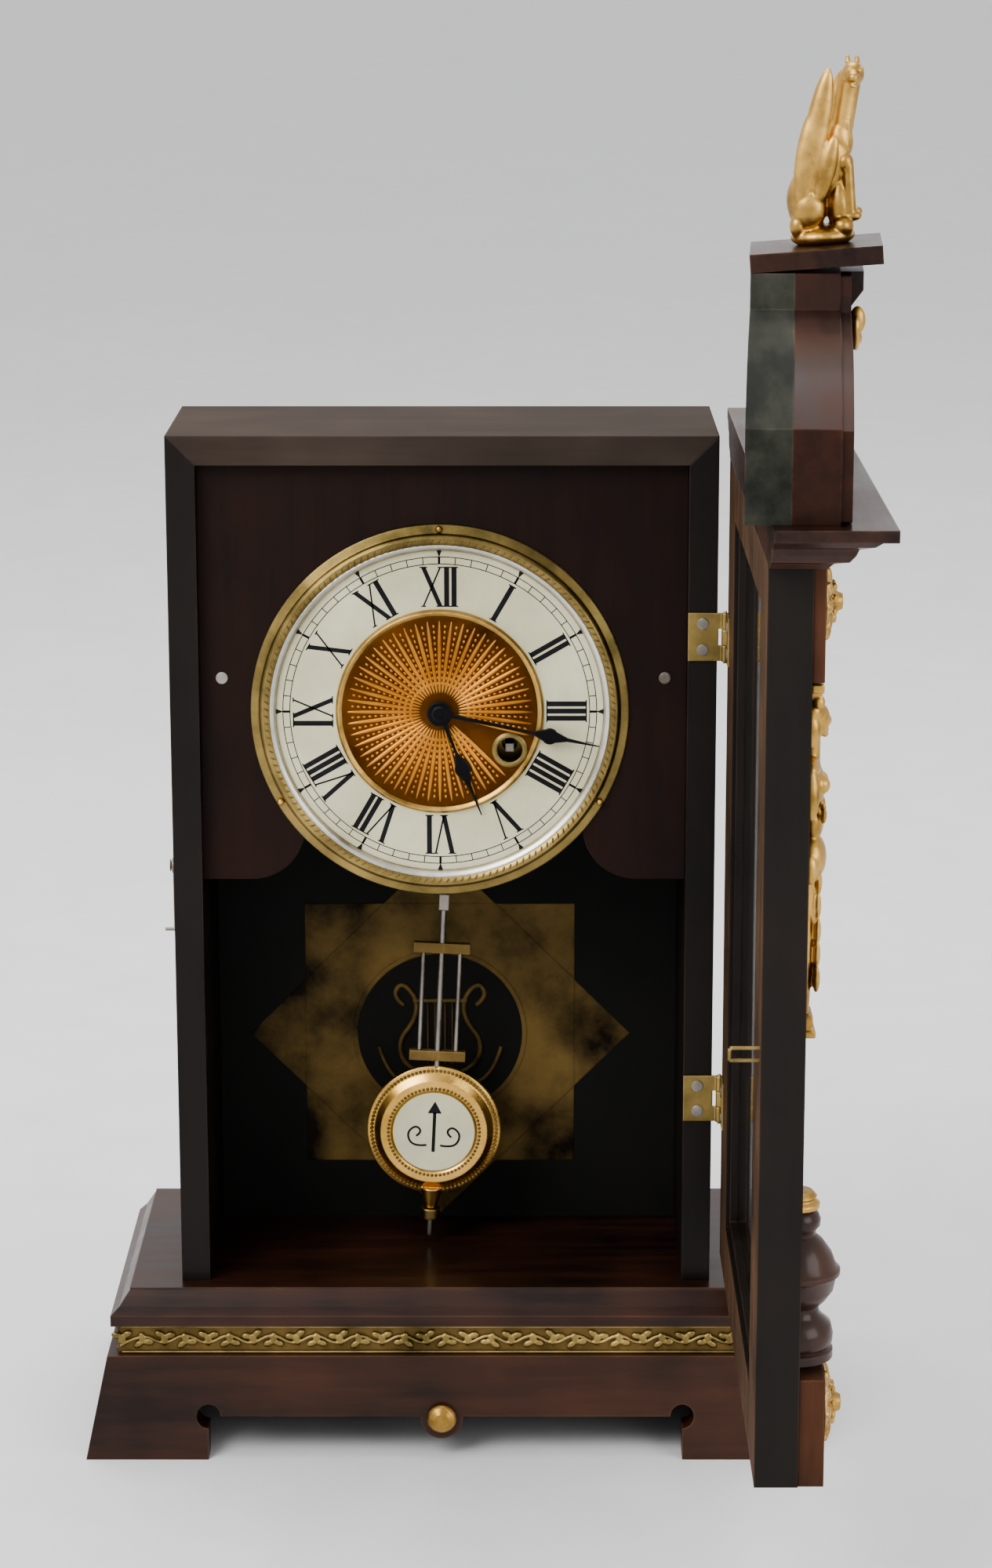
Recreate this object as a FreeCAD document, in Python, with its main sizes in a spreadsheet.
# Mantel clock with a hinged, glazed door that stands open: a walnut plinth, a plain ebonised case, a time-only
# spring movement behind a round dial, a rod pendulum, and a door dressed with gilt castings and a crest.
# Millimetres. +Z up, +X to the viewer's right, the front faces -Y.
# Origin: centre of the plinth's footprint, on the surface that the clock stands on.
# Door pieces are drawn shut and are then swung open about the hinge line. Pendulum pieces are drawn plumb.
import FreeCAD, Part
import Sketcher
import math
import os
import re

doc = FreeCAD.newDocument("mantel_clock")
sheet = doc.addObject("Spreadsheet::Sheet", "sizes")
os.makedirs("parts", exist_ok=True)

SIZES = {
    # plinth
    "plinth_width": 305, "plinth_depth": 145, "plinth_body": 43.3, "plinth_splay": 9, "plinth_board": 12,
    "plinth_arch": 18, "plinth_foot": 52, "foot_notch": 5, "frieze_height": 12.7, "frieze_inset": 5.5,
    "band_thick": 1.2, "top_height": 14.6, "top_fillet": 4.6, "top_moulding": 7.8, "top_overhang": 1.6,
    "knob_radius": 6.2, "knob_lobe": 9,
    # case
    "case_width": 225, "case_depth": 87, "case_height": 363.1, "case_board": 12, "case_setback": 27,
    "back_board_thick": 8, "dial_board_thick": 8, "dial_board_recess": 6, "dial_board_drop": 187.2,
    "dial_board_round": 22.5, "dial_board_mouth": 57.7, "movement_hole": 44, "batten": 14,
    "batten_length": 150,
    # dial
    "dial_shift": -1.5, "dial_drop": 115.3, "bezel_radius": 78.2, "bezel_rise": 4.4, "bezel_sight": 67.6, "dial_plate_radius": 75,
    "dial_plate_thick": 1, "chapter_radius": 67.2, "centre_radius": 40.3, "centre_ring_radius": 43,
    "winding_across": 28.9, "winding_down": 16, "winding_hole": 5.2, "arbor_hole": 3.4,
    # hands
    "minute_reach": 67.4, "minute_pear": 46.5, "hour_reach": 46.8, "hour_pear": 25.8, "hand_thick": 0.7,
    "minute_angle": -12, "hour_angle": -68.4,
    # movement
    "plate_left": 44, "plate_right": 70, "plate_below": 45, "plate_above": 57, "plate_thick": 1.5,
    "plate_gap": 22.5, "movement_gap": 2, "pillar_radius": 3, "third_turn": 120, "escape_turn": 40,
    "centre_module": 0.6, "third_module": 0.5, "motion_module": 0.5, "arbor_radius": 1.2, "pivot_fit": 0.05,
    "spring_outer": 19, "spring_inner": 3.2, "ratchet_radius": 8,
    # pendulum
    "pivot_across": 5.7, "pivot_above": 46.3, "pendulum_behind": 5.5, "pendulum_lean": 2.7,
    "hook_length": 141, "upper_cross": 160, "lower_cross": 208.6, "cross_width": 24.3, "cross_height": 4.4,
    "side_rod_spread": 7.9, "side_rod": 1, "middle_rod": 1.3, "bob_length": 242.3, "bob_radius": 29,
    "bob_thick": 9, "bob_disc": 17.8, "nut_length": 280.7, "nut_radius": 4.1, "nut_height": 4.6,
    "rod_length": 291,
    # hinges, screws and hook
    "hinge_gap": 3, "hinge_stand_off": 3.1, "knuckle_radius": 1.45, "pin_radius": 0.7, "leaf_thick": 1,
    "leaf_width": 12, "leaf_height": 20, "hinge_low": 81.9, "hinge_high": 280.4, "screw_head": 2.5,
    "screw_shank": 1.4, "screw_fit": 0.05, "head_rise": 0.4, "hook_rise": 175.7, "hook_behind": 29,
    "hook_reach": 28, "hook_wire": 0.7, "hook_tip": 4.5, "staple_reach": 10.8, "staple_height": 6,
    # door
    "door_lap": 9, "door_thick": 16, "door_lift": 10.9, "door_height": 342.7, "stile_width": 38,
    "bottom_rail": 25.5, "top_rail": 19.5, "rebate": 5, "glass_thick": 2, "glass_depth": 5,
    "cornice_height": 17, "cornice_reach": 26.5, "door_open": 90,
    # crest
    "crest_half": 138, "crest_rise": 73.3, "crest_end": 33, "crest_neck": 24, "backing_thick": 16.2, "block_thick": 16.6, "archivolt_thick": 4,
    "crest_twist": 4, "keystone_width": 22, "keystone_reach": 8.6, "keystone_height": 14,
    "cap_size": 48.5, "cap_thick": 6.7, "cap_tilt": 4.4, "finial_height": 68, "finial_radius": 12,
    # door ornaments
    "upper_block_thick": 4.4, "lower_block_thick": 9.5, "block_width": 36, "stile_block": 41.5,
    "rosette_radius": 14.6, "rosette_rise": 7.8, "rosette_low": 25.7, "caryatid_low": 168,
    "caryatid_height": 133, "caryatid_half": 14, "baluster_low": 43.5, "ball_radius": 14.4,
    "ornament_radius": 8.5, "ornament_rise": 10,
}

# Places that follow from the sizes above.
PLACES = {
    "case_front": "case_setback - plinth_depth / 2",
    "case_back": "case_front + case_depth",
    "case_base": "plinth_body + frieze_height + top_height",
    "case_crown": "case_base + case_height",
    "door_width": "case_width + 2 * door_lap",
    "inner_half": "case_width / 2 - case_board",
    "board_front": "case_front + dial_board_recess",
    "board_back": "board_front + dial_board_thick",
    "dial_x": "dial_shift",
    "dial_z": "case_crown - dial_drop",
    "plate_front": "board_back + movement_gap",
    "train_front": "plate_front + plate_thick",
    "train_back": "train_front + plate_gap",
    "plate_back": "train_back + plate_thick",
    "pivot_z": "dial_z + pivot_above",
    "pendulum_y": "plate_back + pendulum_behind",
    "hinge_x": "case_width / 2 + hinge_stand_off",
    "hinge_y": "case_front - hinge_gap / 2",
    "door_back": "case_front - hinge_gap",
    "door_front": "door_back - door_thick",
    "door_base": "case_base + door_lift",
    "door_crown": "door_base + door_height",
    "crest_base": "door_crown + cornice_height",
    "crest_front": "door_back - backing_thick - block_thick",
    "sight_half": "door_width / 2 - stile_width - rebate",
    "stile_centre": "door_width / 2 - stile_width / 2",
    "hook_z": "case_base + hook_rise",
    "hook_y": "case_front + hook_behind",
}


def full(text):
    """Write an expression out in the sheet's own cells."""
    def swap(match):
        word = match.group(0)
        if word in PLACES:
            return "(" + full(PLACES[word]) + ")"
        return "sizes." + word if word in SIZES else word
    return re.sub(r"[a-z_]{3,}", swap, str(text))


for row, (alias, number) in enumerate(SIZES.items(), 1):
    sheet.set("A%d" % row, alias)
    sheet.set("B%d" % row, str(number))
    sheet.setAlias("B%d" % row, alias)
doc.recompute()

gauge = doc.addObject("App::FeaturePython", "gauge")
gauge.addProperty("App::PropertyFloat", "Reading")


def size(text):
    """The number that an expression comes to."""
    gauge.setExpression("Reading", full(text))
    gauge.recompute()
    return gauge.Reading


# ---------------------------------------------------------------- ways of making a shape

UP = FreeCAD.Vector(0, 0, 1)
TO_FRONT = FreeCAD.Rotation(FreeCAD.Vector(1, 0, 0), 90)     # local Z runs forward, local Y runs up
TO_BACK = FreeCAD.Rotation(FreeCAD.Vector(1, 0, 0), -90)
TO_LEFT = FreeCAD.Rotation(FreeCAD.Vector(0, 1, 0), -90)
TO_RIGHT = FreeCAD.Rotation(FreeCAD.Vector(0, 1, 0), 90)
UPRIGHT = FreeCAD.Rotation()
INWARD = FreeCAD.Rotation(FreeCAD.Vector(1, 0, 0), 180)


def put(piece, at, turn=UPRIGHT):
    """Place a piece with its base point bound to the sheet."""
    piece.Placement = FreeCAD.Placement(FreeCAD.Vector(), turn)
    for axis, text in zip("xyz", at):
        piece.setExpression("Placement.Base." + axis, full(text))
    return piece


def bind(kind, name, sizes, at, turn=UPRIGHT):
    piece = doc.addObject(kind, name)
    for prop, text in sizes.items():
        piece.setExpression(prop, full(text))
    return put(piece, at, turn)


def box(name, sizes, at, turn=UPRIGHT):
    return bind("Part::Box", name, dict(zip(("Length", "Width", "Height"), sizes)), at, turn)


def rod(name, radius, length, at, turn=UPRIGHT):
    return bind("Part::Cylinder", name, {"Radius": radius, "Height": length}, at, turn)


def cone(name, low, high, length, at, turn=UPRIGHT):
    return bind("Part::Cone", name, {"Radius1": low, "Radius2": high, "Height": length}, at, turn)


def ball(name, radius, at):
    return bind("Part::Sphere", name, {"Radius": radius}, at)


def egg(name, radii, at, turn=UPRIGHT):
    """An ellipsoid: radii along X, Y and Z."""
    return bind("Part::Ellipsoid", name, {"Radius2": radii[0], "Radius3": radii[1], "Radius1": radii[2]}, at, turn)


def hoop(name, ring, wire, at, turn=UPRIGHT):
    return bind("Part::Torus", name, {"Radius1": ring, "Radius2": wire}, at, turn)


def cut(name, base, *tools):
    piece = doc.addObject("Part::Cut", name)
    piece.Base = base
    piece.Tool = tools[0] if len(tools) == 1 else group(name + "_tool", tools)
    return piece


def fuse(name, *shapes):
    piece = doc.addObject("Part::MultiFuse", name)
    piece.Shapes = list(shapes)
    return piece


def common(name, *shapes):
    piece = doc.addObject("Part::MultiCommon", name)
    piece.Shapes = list(shapes)
    return piece


def group(name, pieces):
    piece = doc.addObject("Part::Compound", name)
    piece.Links = list(pieces)
    return piece


def mirrored(name, source):
    """The same piece on the other side of the clock's middle plane."""
    piece = doc.addObject("Part::Mirroring", name)
    piece.Source = source
    piece.Normal = FreeCAD.Vector(1, 0, 0)
    return piece


def made(name, shape, turn=UPRIGHT, at=("0", "0", "0")):
    """A shape worked out in code, where no primitive or sketch fits."""
    piece = doc.addObject("Part::Feature", name)
    piece.Shape = shape
    return put(piece, at, turn)


def sketch_body(name, plane, points):
    """A body with one closed outline, each corner bound to the sheet."""
    body = doc.addObject("PartDesign::Body", name)
    outline = body.newObject("Sketcher::SketchObject", name + "_outline")
    outline.AttachmentSupport = [([f for f in body.Origin.OriginFeatures if f.Role == plane][0], "")]
    outline.MapMode = "FlatFace"
    count = len(points)
    corners = [(size(across), size(up)) for across, up in points]
    for i in range(count):
        start, end = corners[i], corners[(i + 1) % count]
        outline.addGeometry(Part.LineSegment(FreeCAD.Vector(*start, 0), FreeCAD.Vector(*end, 0)), False)
    for i in range(count):
        outline.addConstraint(Sketcher.Constraint("Coincident", i, 2, (i + 1) % count, 1))
    for i, (texts, corner) in enumerate(zip(points, corners)):
        for kind, text, value in zip(("DistanceX", "DistanceY"), texts, corner):
            constraint = outline.addConstraint(Sketcher.Constraint(kind, -1, 1, i, 1, value))
            outline.setExpression("Constraints[%d]" % constraint, full(text))
    return body, outline


def padded(name, plane, points, length, at=("0", "0", "0"), turn=UPRIGHT, backwards=False):
    body, outline = sketch_body(name, plane, points)
    pad = body.newObject("PartDesign::Pad", name + "_pad")
    pad.Profile = outline
    pad.setExpression("Length", full(length))
    pad.Reversed = backwards
    return put(body, at, turn)


def turned(name, points, at, turn=UPRIGHT):
    """A lathe piece: points are (radius, height)."""
    body, outline = sketch_body(name, "XZ_Plane", points)
    spin = body.newObject("PartDesign::Revolution", name + "_spin")
    spin.Profile = outline
    spin.ReferenceAxis = (outline, ["V_Axis"])
    spin.Angle = 360
    return put(body, at, turn)


NODES = {}


def node(name, *pieces):
    """Name a sub-part. Several separate solids make one group."""
    piece = pieces[0] if len(pieces) == 1 else group(name + "_group", pieces)
    piece.Label = name
    NODES[name] = piece
    return piece


def shift(name, move):
    """Wrap a sub-part so that the move comes on top of its own placement."""
    inner = NODES[name]
    inner.Label = name + "_as_drawn"
    outer = doc.addObject("Part::Compound", name + "_moved")
    outer.Links = [inner]
    outer.Placement = move.multiply(outer.Placement)
    outer.Label = name
    NODES[name] = outer
    return outer


# ---------------------------------------------------------------- screws

def screw(name, at, turn, length):
    """Slotted wood screw: the head stands on the surface at the given point, the shank runs in."""
    head = rod(name + "_head", "screw_head", "head_rise", at, turn)
    shank = rod(name + "_shank", "screw_shank", length, at, turn.multiply(INWARD))
    return fuse(name, head, shank)


def pilot(name, at, turn, length):
    """The hole that a screw's shank runs in."""
    return rod(name, "screw_shank + screw_fit", length, at, turn.multiply(INWARD))


# ---------------------------------------------------------------- plinth

def splayed_block(name, inset):
    """The plinth's outer form, drawn in by an inset: splayed at the front and both sides, straight behind."""
    half = "(plinth_width / 2 - %s)" % inset
    front = "(-plinth_depth / 2 + %s)" % inset
    behind = "(plinth_depth / 2 - %s)" % inset
    across = padded(name + "_across", "XZ_Plane", [
        ("-" + half, "0"), (half, "0"), (half + " - plinth_splay", "plinth_body"),
        ("-" + half + " + plinth_splay", "plinth_body")], "plinth_depth + 2", ("0", "-plinth_depth / 2 - 1", "0"),
        backwards=True)
    along = padded(name + "_along", "YZ_Plane", [
        (front, "0"), (behind, "0"), (behind, "plinth_body"), (front + " + plinth_splay", "plinth_body")],
        "plinth_width + 2", ("-plinth_width / 2 - 1", "0", "0"))
    return common(name, across, along)


def plinth():
    shell = cut("plinth_shell", splayed_block("plinth_outer", "0"), splayed_block("plinth_inner", "plinth_board"))
    front_depth = "plinth_board + plinth_splay"
    front_zone = box("front_zone", ("plinth_width + 2", front_depth, "plinth_body + 2"),
                     ("-plinth_width / 2 - 1", "-plinth_depth / 2", "-1"))
    back_zone = box("back_zone", ("plinth_width - 2 * plinth_board - 2 * plinth_splay", "plinth_board",
                                  "plinth_body + 2"),
                    ("-plinth_width / 2 + plinth_board + plinth_splay", "plinth_depth / 2 - plinth_board", "-1"))
    mouth = box("arch_mouth", ("plinth_width - 2 * plinth_foot", front_depth + " + 2", "plinth_arch + 1"),
                ("plinth_foot - plinth_width / 2", "-plinth_depth / 2 - 1", "-1"))
    left_notch = rod("left_notch", "foot_notch", front_depth + " + 2",
                     ("plinth_foot - plinth_width / 2", "-plinth_depth / 2 - 1", "plinth_arch"), TO_BACK)
    right_notch = mirrored("right_notch", left_notch)
    lobe = rod("knob_lobe_round", "knob_lobe", front_depth + " + 4",
               ("dial_x", "-plinth_depth / 2 - 2", "plinth_arch"), TO_BACK)
    arch = cut("arch", fuse("arch_open", mouth, left_notch, right_notch), lobe)
    node("plinth_front", cut("plinth_front", common("front_board", shell, front_zone), arch))
    back_rail = common("plinth_back_rail", shell, back_zone)
    sides = cut("plinth_sides_whole", shell, front_zone, back_zone)
    halves = [common("plinth_side_" + side, sides, box(
        "side_zone_" + side, ("plinth_width / 2", "plinth_depth + 2", "plinth_body + 2"),
        (start, "-plinth_depth / 2 - 1", "-1"))) for side, start in (("left", "-plinth_width / 2"), ("right", "0"))]
    node("plinth_boards", back_rail, *halves)

    reach = "(plinth_width / 2 - plinth_splay - frieze_inset)"
    frieze_front = "(-plinth_depth / 2 + plinth_splay + frieze_inset)"
    frieze_depth = "(plinth_depth / 2 - %s)" % frieze_front
    node("plinth_frieze", box("plinth_frieze", ("2 * " + reach, frieze_depth, "frieze_height"),
                              ("-" + reach, frieze_front, "plinth_body")))
    wrap = box("band_wrap", ("2 * %s + 2 * band_thick" % reach, frieze_depth + " + band_thick", "frieze_height"),
               ("-%s - band_thick" % reach, frieze_front + " - band_thick", "plinth_body"))
    core = box("band_core", ("2 * " + reach, frieze_depth, "frieze_height"),
               ("-" + reach, frieze_front, "plinth_body"))
    node("plinth_band", cut("plinth_band", wrap, core))

    edge = "(plinth_width / 2 - plinth_splay - top_overhang)"
    low = "(plinth_body + frieze_height)"
    step = "(%s + top_fillet)" % low
    side_points = [(edge, low), (edge, step), (edge + " - top_moulding * 0.15", step + " + 1"),
                   (edge + " - top_moulding * 0.45", step + " + 3"), (edge + " - top_moulding * 0.8", step + " + 7"),
                   (edge + " - top_moulding", "case_base - 1"), (edge + " - top_moulding", "case_base")]
    across_points = side_points + [("-(%s)" % x, z) for x, z in reversed(side_points)]
    front_edge = "(plinth_depth / 2 - plinth_splay - top_overhang)"
    front_points = [("-(%s)" % x.replace(edge, front_edge), z) for x, z in side_points]
    back_edge = "(plinth_depth / 2 - 2)"
    along_points = front_points + [(back_edge, "case_base"), (back_edge, low)]
    across = padded("top_across", "XZ_Plane", across_points, "plinth_depth", ("0", "-plinth_depth / 2", "0"),
                    backwards=True)
    along = padded("top_along", "YZ_Plane", along_points, "plinth_width", ("-plinth_width / 2", "0", "0"))
    node("plinth_top", common("plinth_top", across, along))

    knob_front = "(-plinth_depth / 2 + plinth_splay * plinth_arch / plinth_body)"
    node("plinth_knob", turned("plinth_knob", [
        ("0", "-2"), ("2", "-2"), ("2", "1.5"), ("knob_radius", "1.7"), ("knob_radius", "2.8"),
        ("knob_radius * 0.86", "4"), ("knob_radius * 0.5", "5.4"), ("0", "5.9")],
        ("dial_x", knob_front, "plinth_arch"), TO_FRONT))
    socket = rod("knob_socket", "2.05", "6", ("dial_x", knob_front + " - 3", "plinth_arch"), TO_BACK)
    node("plinth_front", cut("plinth_front_bored", NODES["plinth_front"], socket))


# ---------------------------------------------------------------- case

def case():
    half = "(case_width / 2)"
    left = padded("case_side_left", "XZ_Plane", [
        ("-" + half, "case_base"), ("-inner_half", "case_base"), ("-inner_half", "case_crown - case_board"),
        ("-" + half, "case_crown")], "case_depth", ("0", "case_front", "0"), backwards=True)
    right = padded("case_side_right", "XZ_Plane", [
        (half, "case_base"), ("inner_half", "case_base"), ("inner_half", "case_crown - case_board"),
        (half, "case_crown")], "case_depth", ("0", "case_front", "0"), backwards=True)
    node("case_top", padded("case_top", "XZ_Plane", [
        ("-inner_half", "case_crown - case_board"), ("inner_half", "case_crown - case_board"),
        (half, "case_crown"), ("-" + half, "case_crown")], "case_depth", ("0", "case_front", "0"), backwards=True))
    hinge_pilots = [pilot("hinge_pilot_%d" % i, at, TO_FRONT, "12") for i, at in enumerate(case_hinge_points())]
    hook_pilot = pilot("hook_pilot", hook_point(), TO_LEFT, "9")
    node("case_sides", cut("case_side_left_bored", left, hook_pilot),
         cut("case_side_right_bored", right, *hinge_pilots))
    node("back_board", box("back_board", ("2 * inner_half", "back_board_thick", "case_height - case_board"),
                           ("-inner_half", "case_back - back_board_thick", "case_base")))

    bottom = "(case_crown - dial_board_drop)"
    board = box("dial_board_blank", ("2 * inner_half", "dial_board_thick", "dial_board_drop - case_board"),
                ("-inner_half", "board_front", bottom))
    corner = "dial_board_round"
    mouth_top = "(dial_z - plate_below - 1)"
    mouth = box("board_mouth", ("2 * dial_board_mouth", "dial_board_thick + 2", mouth_top + " - " + bottom + " + 1"),
                ("-dial_board_mouth", "board_front - 1", bottom + " - 1"))
    flare = box("board_flare", ("2 * dial_board_mouth + 2 * " + corner, "dial_board_thick + 2", corner + " + 1"),
                ("-dial_board_mouth - " + corner, "board_front - 1", bottom + " - 1"))
    lobe = rod("board_lobe", corner, "dial_board_thick + 4",
               ("-dial_board_mouth - " + corner, "board_front - 2", bottom + " + " + corner), TO_BACK)
    opening = cut("board_opening", fuse("board_open", mouth, flare), lobe, mirrored("board_lobe_right", lobe))
    hole = rod("board_hole", "movement_hole", "dial_board_thick + 2", ("dial_x", "board_front - 1", "dial_z"), TO_BACK)
    board_pilots = [pilot("board_pilot_%d" % i, at, TO_FRONT, "dial_board_thick + 6")
                    for i, at in enumerate(dial_board_points())]
    plate_pilots = [pilot("plate_pilot_%d" % i, at, TO_BACK, "plate_thick + movement_gap + 5")
                    for i, at in enumerate(plate_screw_points())]
    pin_holes = [rod("pin_hole_%d" % i, "0.85", "4", at, TO_BACK) for i, at in enumerate(bezel_pin_points())]
    node("dial_board", cut("dial_board", board, opening, hole, *board_pilots, *plate_pilots, *pin_holes))
    batten = box("dial_batten_left", ("batten", "10", "batten_length"),
                 ("-inner_half", "board_back", "case_crown - case_board - batten_length"))
    left_batten = cut("left_batten", batten, *[pilot("batten_pilot_%d" % i, at, TO_FRONT, "dial_board_thick + 6")
                                               for i, at in enumerate(dial_board_points())])
    node("dial_battens", left_batten, mirrored("right_batten", left_batten))


def dial_board_points():
    return [("-inner_half + batten * 0.65", "board_front", "dial_z + 14"),
            ("inner_half - batten * 0.65", "board_front", "dial_z + 14")]


def plate_screw_points():
    return [(x, "plate_back - plate_thick - plate_gap", z)
            for x in ("dial_x - plate_left + 4", "dial_x + plate_right - 4")
            for z in ("dial_z - plate_below + 5", "dial_z + plate_above - 5")]


def bezel_pin_points():
    radius = "(bezel_radius - 1.7)"
    angles = (90, 210, 330)
    return [("dial_x + %s * %.6f" % (radius, math.cos(math.radians(a))), "board_front",
             "dial_z + %s * %.6f" % (radius, math.sin(math.radians(a)))) for a in angles]


def case_hinge_points():
    return [("case_width / 2 - case_board / 2", "case_front - leaf_thick", "case_base + %s + %s" % (low, rise))
            for low in ("hinge_low", "hinge_high") for rise in ("-5.5", "5.5")]


def door_hinge_points():
    return [("hinge_x - leaf_width * 0.6", "door_back + leaf_thick", "case_base + %s + %s" % (low, rise))
            for low in ("hinge_low", "hinge_high") for rise in ("-5.5", "5.5")]


def hook_point():
    return ("-case_width / 2 - 3.6", "hook_y", "hook_z")


# ---------------------------------------------------------------- dial

def dial():
    centre = ("dial_x", "board_front", "dial_z")
    plate = rod("plate_disc", "dial_plate_radius", "dial_plate_thick", centre, TO_FRONT)
    winding = ("dial_x + winding_across", "board_front + 1", "dial_z - winding_down")
    winding_hole = rod("winding_hole_plate", "winding_hole + 1.2", "4", winding, TO_FRONT)
    arbor_hole = rod("arbor_hole_plate", "arbor_hole", "4", ("dial_x", "board_front + 1", "dial_z"), TO_FRONT)
    node("chapter_ring", cut("chapter_ring", plate, winding_hole, arbor_hole))
    face = "board_front - dial_plate_thick"
    disc = rod("centre_disc", "centre_radius", "0.8", ("dial_x", face, "dial_z"), TO_FRONT)
    disc_winding = rod("winding_hole_disc", "winding_hole + 1.2", "4", winding, TO_FRONT)
    disc_arbor = rod("arbor_hole_disc", "arbor_hole", "4", ("dial_x", "board_front + 1", "dial_z"), TO_FRONT)
    node("dial_centre", cut("dial_centre", disc, disc_winding, disc_arbor))
    node("centre_ring", turned("centre_ring", [
        ("centre_radius + 0.05", "0"), ("centre_ring_radius", "0"), ("centre_ring_radius", "0.6"),
        ("centre_ring_radius - 1.1", "1.8"), ("centre_radius + 0.05", "0.9")], ("dial_x", face, "dial_z"), TO_FRONT))
    node("winding_grommet", turned("winding_grommet", [
        ("winding_hole", "-1"), ("winding_hole + 1.1", "-1"), ("winding_hole + 1.1", "0.82"),
        ("winding_hole + 2.2", "0.82"), ("winding_hole + 2.2", "1.3"), ("winding_hole + 1", "1.8"),
        ("winding_hole", "1.6")], ("dial_x + winding_across", face, "dial_z - winding_down"), TO_FRONT))
    bezel = turned("bezel_ring", [
        ("dial_plate_radius + 0.2", "0"), ("bezel_radius", "0"), ("bezel_radius", "0.8"),
        ("bezel_radius - 3.4", "1.9"), ("bezel_radius - 4", "bezel_rise - 0.8"), ("bezel_radius - 5", "bezel_rise"),
        ("bezel_radius - 6.6", "bezel_rise"), ("bezel_sight + 2.4", "bezel_rise - 1"),
        ("bezel_sight", "dial_plate_thick + 0.7"), ("bezel_sight", "dial_plate_thick + 0.05"),
        ("dial_plate_radius + 0.2", "dial_plate_thick + 0.05")], centre, TO_FRONT)
    holes = [rod("bezel_pin_hole_%d" % i, "0.85", "4", at, TO_FRONT) for i, at in enumerate(bezel_pin_points())]
    node("bezel", cut("bezel", bezel, *holes))
    pins = []
    for i, (across, depth, up) in enumerate(bezel_pin_points()):
        head = bind("Part::Sphere", "pin_head_%d" % i, {"Radius": "1.5"}, (across, "board_front - 1.95", up))
        shank = rod("pin_shank_%d" % i, "0.8", "5", (across, "board_front - 1.95", up), TO_BACK)
        flat = box("pin_flat_%d" % i, ("4", "4", "4"), (across + " - 2", "board_front - 1.95", up + " - 2"))
        pins.append(fuse("bezel_pin_%d" % i, cut("pin_dome_%d" % i, head, flat), shank))
    node("bezel_pins", *pins)


# ---------------------------------------------------------------- wheels

TOOTH_WIDTHS = (0.42, 0.36, 0.2)       # of the pitch, at the root, on the pitch circle and at the tip


def toothed(teeth, module, thick, phase, bore):
    """A toothed disc about the local Z axis with a tooth centred on the phase angle, in degrees."""
    pitch_radius = module * teeth / 2
    radii = (pitch_radius - 1.25 * module, pitch_radius, pitch_radius + 0.85 * module)
    corners = []
    for tooth in range(teeth):
        centre = math.radians(phase) + 2 * math.pi * tooth / teeth
        flank = [(radius, share * math.pi * module / 2 / radius) for radius, share in zip(radii, TOOTH_WIDTHS)]
        corners += [(radius, centre - half) for radius, half in flank]
        corners += [(radius, centre + half) for radius, half in reversed(flank)]
    points = [FreeCAD.Vector(radius * math.cos(turn), radius * math.sin(turn), 0) for radius, turn in corners]
    disc = Part.Face(Part.makePolygon(points + points[:1])).extrude(UP * thick)
    return disc.cut(Part.makeCylinder(bore, thick + 2, UP * -1)) if bore else disc


def spokes(disc, rim, hub, thick, count=4):
    """Cross a wheel out: cut windows between its arms."""
    window = Part.makeCylinder(rim, thick + 2, UP * -1).cut(Part.makeCylinder(hub, thick + 4, UP * -2))
    arm = Part.makeBox(2 * rim + 2, 2.2, thick + 6, FreeCAD.Vector(-rim - 1, -1.1, -3))
    for i in range(count // 2):
        turned_arm = arm.copy()
        turned_arm.rotate(FreeCAD.Vector(), UP, 180.0 * i / (count // 2))
        window = window.cut(turned_arm)
    return disc.cut(window)


def on_arbor(shapes, start, end, radius):
    """Fuse toothed discs, each at its depth, to an arbor that ends in the plates."""
    arbor = Part.makeCylinder(radius, end - start, UP * start)
    for depth, shape in shapes:
        lifted = shape.copy()
        lifted.translate(UP * depth)
        arbor = arbor.fuse(lifted)
    return arbor.removeSplitter()


def polar(distance, angle):
    return distance * math.cos(math.radians(angle)), distance * math.sin(math.radians(angle))


TEETH = {"great": 64, "centre_pinion": 8, "centre": 72, "third_pinion": 6, "third": 60, "escape_pinion": 6,
         "escape": 32, "cannon": 12, "minute": 36, "minute_pinion": 10, "hour": 40}
LAYERS = {"great": 2, "ratchet": 4.3, "spring": 7, "centre": size("plate_gap - 4"), "third": 10.5, "escape": 4.5, "anchor": 4}


def mesh_phases(angle, follower_teeth):
    """A tooth of the first wheel points along the line of centres, a gap of the second faces it."""
    return angle, angle + 180 + 180.0 / follower_teeth


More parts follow.
